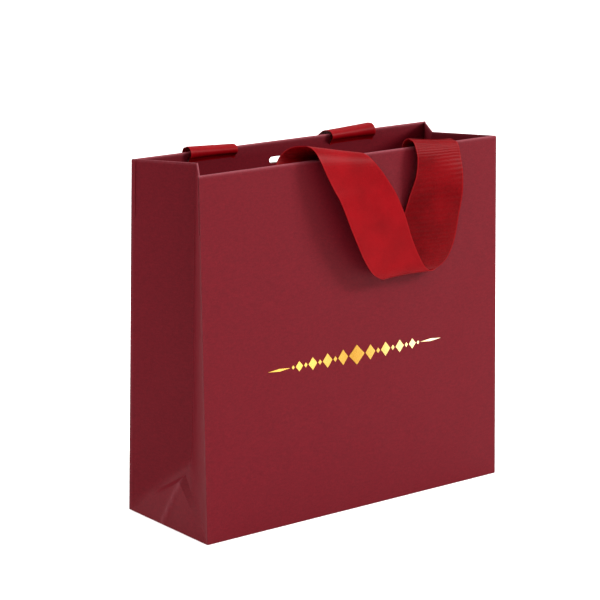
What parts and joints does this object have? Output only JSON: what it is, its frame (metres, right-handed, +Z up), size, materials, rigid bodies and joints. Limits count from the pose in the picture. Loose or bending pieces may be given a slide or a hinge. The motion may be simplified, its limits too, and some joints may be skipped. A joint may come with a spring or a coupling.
{
  "type": "gift bag",
  "caption": "Open-topped paper gift bag with inward side gussets, a boarded base, turned-in hems, wide satin ribbon loop handles and a plain foil ornament.",
  "frame": {"origin": "centre of the base on the surface the bag stands on", "axes": "+X along the wide panels, -Y out of the front panel with the foil ornament, +Z up out of the mouth"},
  "size_m": [0.25, 0.1036, 0.2458],
  "materials": {
    "red_paper": "matte laminated art paper",
    "grey_card": "uncoated grey board",
    "satin_ribbon": "woven satin with fine ribs",
    "gold_foil": "hot-stamped metallic foil"
  },
  "bodies": {
    "bag": {"back_panel": "red_paper", "back_ribbon_tail_left": "satin_ribbon", "back_ribbon_tail_right": "satin_ribbon", "back_stiffener_card": "grey_card", "back_turned_hem": "red_paper", "bottom_board": "grey_card", "bottom_flap_back": "red_paper", "bottom_flap_front": "red_paper", "bottom_tuck_left": "red_paper", "bottom_tuck_right": "red_paper", "foil_ornament": "gold_foil", "front_panel": "red_paper", "front_ribbon_tail_left": "satin_ribbon", "front_ribbon_tail_right": "satin_ribbon", "front_stiffener_card": "grey_card", "front_turned_hem": "red_paper", "left_foot_triangle": "red_paper", "left_gusset_back_half": "red_paper", "left_gusset_back_hem": "red_paper", "left_gusset_front_half": "red_paper", "left_gusset_front_hem": "red_paper", "right_foot_triangle": "red_paper", "right_gusset_back_half": "red_paper", "right_gusset_back_hem": "red_paper", "right_gusset_front_half": "red_paper", "right_gusset_front_hem": "red_paper", "side_seam_flap": "red_paper"},
    "front_handle": {"front_ribbon_handle": "satin_ribbon"},
    "back_handle": {"back_ribbon_handle": "satin_ribbon"}
  },
  "joints": [
    {"name": "front_handle_swing", "type": "hinge", "parent": "bag", "child": "front_handle", "pos_m": [0, -0.03731, 0.246], "axis": [-1, 0, 0], "range_deg": [0, 170]},
    {"name": "back_handle_swing", "type": "hinge", "parent": "bag", "child": "back_handle", "pos_m": [0, 0.03739, 0.2435], "axis": [1, 0, 0], "range_deg": [0, 170]}
  ]
}
